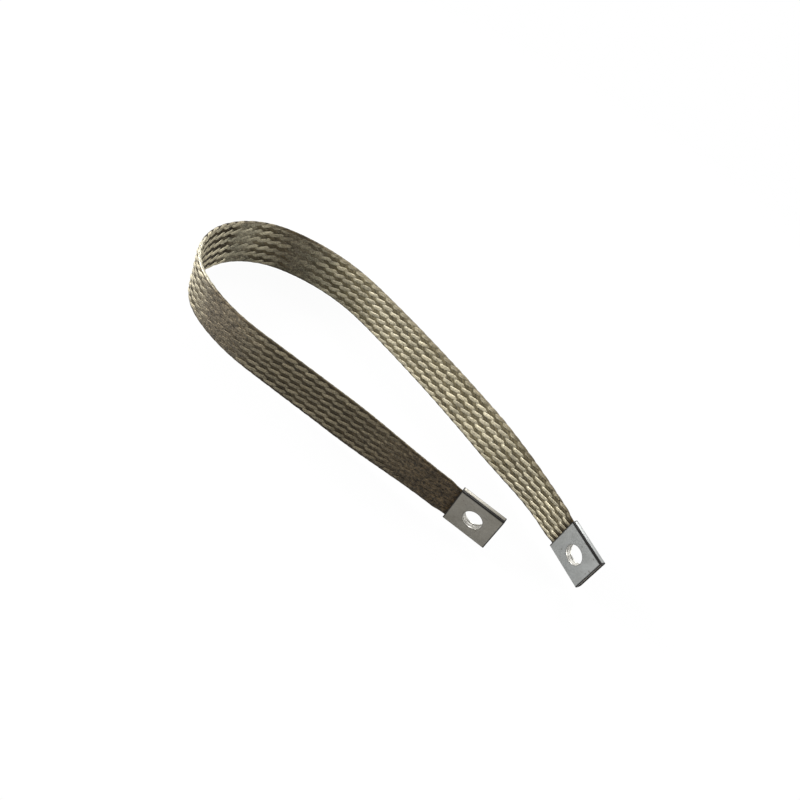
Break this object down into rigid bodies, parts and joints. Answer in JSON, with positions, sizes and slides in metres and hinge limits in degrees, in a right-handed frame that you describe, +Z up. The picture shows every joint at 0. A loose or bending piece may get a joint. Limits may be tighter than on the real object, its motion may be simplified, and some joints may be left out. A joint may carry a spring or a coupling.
{
  "type": "flexible busbar braid",
  "caption": "Flat tinned copper braid strap standing on edge and bent into a hairpin, with a folded sheet ferrule pressed on each end and a bolt hole through each ferrule.",
  "frame": {"origin": "middle of the strap's box in plan, on the surface that its long edge stands on", "axes": "+X from the bend towards the two bolt ends, +Y from the near arm to the far arm, +Z up across the strap's width"},
  "size_m": [0.222, 0.0814, 0.025],
  "materials": {
    "braid": "tinned copper wire, dull and slightly yellowed",
    "ferrule": "tinned sheet, pressed, satin grey"
  },
  "bodies": {
    "root": {"braid": "braid", "near_ferrule": "ferrule", "far_ferrule": "ferrule"}
  },
  "joints": []
}
